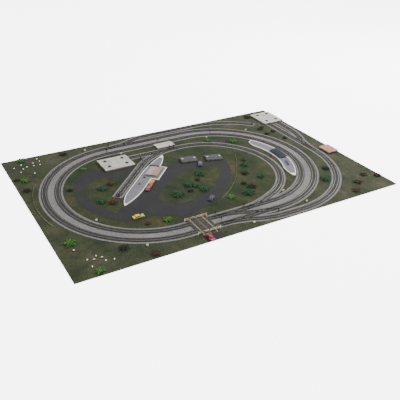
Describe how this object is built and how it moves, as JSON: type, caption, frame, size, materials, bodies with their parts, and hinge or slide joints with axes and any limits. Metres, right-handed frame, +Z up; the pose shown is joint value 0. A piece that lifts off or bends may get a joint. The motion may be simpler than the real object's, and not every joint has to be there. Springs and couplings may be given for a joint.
{
  "type": "model railway track set",
  "caption": "Oval model railway track set on a flat scenic board, with turnouts, level crossing, platforms, low relief buildings and cars.",
  "frame": {"origin": "centre of the scenic board's underside, which rests on a table", "axes": "+X along the board's long side, +Y towards its back edge, +Z up"},
  "size_m": [1.82, 1.2, 0.0213],
  "materials": {
    "printed_board": "matte printed ground cover",
    "asphalt": "matte printed road",
    "ballast": "fine granite chippings",
    "sleeper_plastic": "matte moulded",
    "nickel_silver": "drawn rail, polished head",
    "blade_steel": "brushed",
    "crossing_boards": "weathered boards",
    "white_plastic": "satin moulded",
    "dark_iron": "satin black paint",
    "signal_red": "satin paint",
    "buffer_red": "matte",
    "platform_paving": "matte paving",
    "platform_edge_white": "matte painted",
    "canopy_teal": "dark glazed roof",
    "roof_pink": "matte tiles",
    "wall_render": "matte render",
    "shed_roof_white": "matte corrugated",
    "vent_grey": "matte",
    "slate_grey": "matte slate",
    "house_brick": "matte brick",
    "chimney_pale": "matte",
    "depot_salmon": "matte sheet",
    "weathered_fence": "matte",
    "foliage": "flocked foam",
    "fleece": "matte",
    "car_yellow": "gloss enamel",
    "car_red": "gloss enamel",
    "car_blue": "gloss enamel",
    "car_rust": "gloss enamel",
    "tyre_black": "matte"
  },
  "bodies": {
    "layout": {"scenic_board": "printed_board", "road_surface": "asphalt", "ballast_bed": "ballast", "oval_sleepers": "sleeper_plastic", "branch_sleepers": "sleeper_plastic", "turnout_sleepers": "sleeper_plastic", "oval_rails": "nickel_silver", "branch_rails": "nickel_silver", "turnout_rails": "nickel_silver", "crossing_deck": "crossing_boards", "gate_posts": "white_plastic", "signal_posts": "dark_iron", "ground_signals": "dark_iron", "water_crane_column": "dark_iron", "buffer_stops": "buffer_red", "platform_slabs": "platform_paving", "platform_edging": "platform_edge_white", "platform_canopy": "canopy_teal", "platform_shelters": "dark_iron", "station_walls": "wall_render", "station_roof": "roof_pink", "shed_walls": "wall_render", "shed_roofs": "shed_roof_white", "roof_vents": "vent_grey", "signal_box_walls": "wall_render", "signal_box_roof": "shed_roof_white", "house_walls": "house_brick", "house_roofs": "slate_grey", "chimneys": "chimney_pale", "depot_walls": "house_brick", "depot_roof": "depot_salmon", "lineside_cabinets": "white_plastic", "fences": "weathered_fence", "bushes": "foliage", "sheep": "fleece", "yellow_car": "car_yellow", "red_car": "car_red", "blue_car": "car_blue", "parked_cars": "car_rust"},
    "blades_1": {"switch_blades_1": "blade_steel"},
    "blades_2": {"switch_blades_2": "blade_steel"},
    "blades_3": {"switch_blades_3": "blade_steel"},
    "blades_4": {"switch_blades_4": "blade_steel"},
    "blades_5": {"switch_blades_5": "blade_steel"},
    "blades_6": {"switch_blades_6": "blade_steel"},
    "blades_7": {"switch_blades_7": "blade_steel"},
    "gate_1_body": {"gate_1": "white_plastic"},
    "gate_2_body": {"gate_2": "white_plastic"},
    "gate_3_body": {"gate_3": "white_plastic"},
    "gate_4_body": {"gate_4": "white_plastic"},
    "arm_1": {"signal_arm_1": "signal_red"},
    "arm_2": {"signal_arm_2": "signal_red"},
    "arm_3": {"signal_arm_3": "signal_red"},
    "crane_arm": {"water_crane_arm": "dark_iron"},
    "yellow_axle_1": {"yellow_car_axle_1": "tyre_black"},
    "yellow_axle_2": {"yellow_car_axle_2": "tyre_black"},
    "red_axle_1": {"red_car_axle_1": "tyre_black"},
    "red_axle_2": {"red_car_axle_2": "tyre_black"},
    "blue_axle_1": {"blue_car_axle_1": "tyre_black"},
    "blue_axle_2": {"blue_car_axle_2": "tyre_black"}
  },
  "joints": [
    {"name": "switch_1", "type": "hinge", "parent": "layout", "child": "blades_1", "pos_m": [-0.07933, -0.502, 0.0078], "axis": [0, 0, -1], "range_deg": [0, 2.33]},
    {"name": "switch_2", "type": "hinge", "parent": "layout", "child": "blades_2", "pos_m": [-0.07933, -0.435, 0.0078], "axis": [0, 0, -1], "range_deg": [0, 2.33]},
    {"name": "switch_3", "type": "hinge", "parent": "layout", "child": "blades_3", "pos_m": [0.116, -0.502, 0.0078], "axis": [0, 0, -1], "range_deg": [0, 2.33]},
    {"name": "switch_4", "type": "hinge", "parent": "layout", "child": "blades_4", "pos_m": [0.08833, -0.435, 0.0078], "axis": [0, 0, 1], "range_deg": [0, 2.33]},
    {"name": "switch_5", "type": "hinge", "parent": "layout", "child": "blades_5", "pos_m": [-0.247, 0.508, 0.0078], "axis": [0, 0, 1], "range_deg": [0, 2.33]},
    {"name": "switch_6", "type": "hinge", "parent": "layout", "child": "blades_6", "pos_m": [0.00194, 0.33238, 0.0078], "axis": [0, 0, 1], "range_deg": [0, 2.33]},
    {"name": "switch_7", "type": "hinge", "parent": "layout", "child": "blades_7", "pos_m": [0.7944, 0.00632, 0.0078], "axis": [0, 0, -1], "range_deg": [0, 2.33]},
    {"name": "gate_1_swing", "type": "hinge", "parent": "layout", "child": "gate_1_body", "pos_m": [-0.293, -0.405, 0.0103], "axis": [0, 0, -1], "range_deg": [0, 90]},
    {"name": "gate_2_swing", "type": "hinge", "parent": "layout", "child": "gate_2_body", "pos_m": [-0.173, -0.405, 0.0103], "axis": [0, 0, 1], "range_deg": [0, 90]},
    {"name": "gate_3_swing", "type": "hinge", "parent": "layout", "child": "gate_3_body", "pos_m": [-0.293, -0.532, 0.0103], "axis": [0, 0, 1], "range_deg": [0, 90]},
    {"name": "gate_4_swing", "type": "hinge", "parent": "layout", "child": "gate_4_body", "pos_m": [-0.173, -0.532, 0.0103], "axis": [0, 0, -1], "range_deg": [0, 90]},
    {"name": "signal_1", "type": "hinge", "parent": "layout", "child": "arm_1", "pos_m": [-0.325, 0.466, 0.018], "axis": [0, 1, 0], "range_deg": [0, 45]},
    {"name": "signal_2", "type": "hinge", "parent": "layout", "child": "arm_2", "pos_m": [0.012, 0.466, 0.018], "axis": [0, 1, 0], "range_deg": [0, 45]},
    {"name": "signal_3", "type": "hinge", "parent": "layout", "child": "arm_3", "pos_m": [0.3687, 0.4377, 0.018], "axis": [0, 1, 0], "range_deg": [0, 45]},
    {"name": "crane_swing", "type": "hinge", "parent": "layout", "child": "crane_arm", "pos_m": [-0.189, 0.2925, 0.0162], "axis": [0, 0, 1], "range_deg": [-60, 60]},
    {"name": "yellow_wheels_1", "type": "hinge", "parent": "layout", "child": "yellow_axle_1", "pos_m": [-0.452, -0.269, 0.0086], "axis": [0, 1, 0], "continuous": true},
    {"name": "yellow_wheels_2", "type": "hinge", "parent": "layout", "child": "yellow_axle_2", "pos_m": [-0.486, -0.269, 0.0086], "axis": [0, 1, 0], "continuous": true},
    {"name": "red_wheels_1", "type": "hinge", "parent": "layout", "child": "red_axle_1", "pos_m": [-0.255, -0.554, 0.0086], "axis": [-1, 0, 0], "continuous": true},
    {"name": "red_wheels_2", "type": "hinge", "parent": "layout", "child": "red_axle_2", "pos_m": [-0.255, -0.588, 0.0086], "axis": [-1, 0, 0], "continuous": true},
    {"name": "blue_wheels_1", "type": "hinge", "parent": "layout", "child": "blue_axle_1", "pos_m": [-0.05198, -0.26807, 0.0086], "axis": [-0.6428, 0.766, 0], "continuous": true},
    {"name": "blue_wheels_2", "type": "hinge", "parent": "layout", "child": "blue_axle_2", "pos_m": [-0.07802, -0.28993, 0.0086], "axis": [-0.6428, 0.766, 0], "continuous": true}
  ]
}
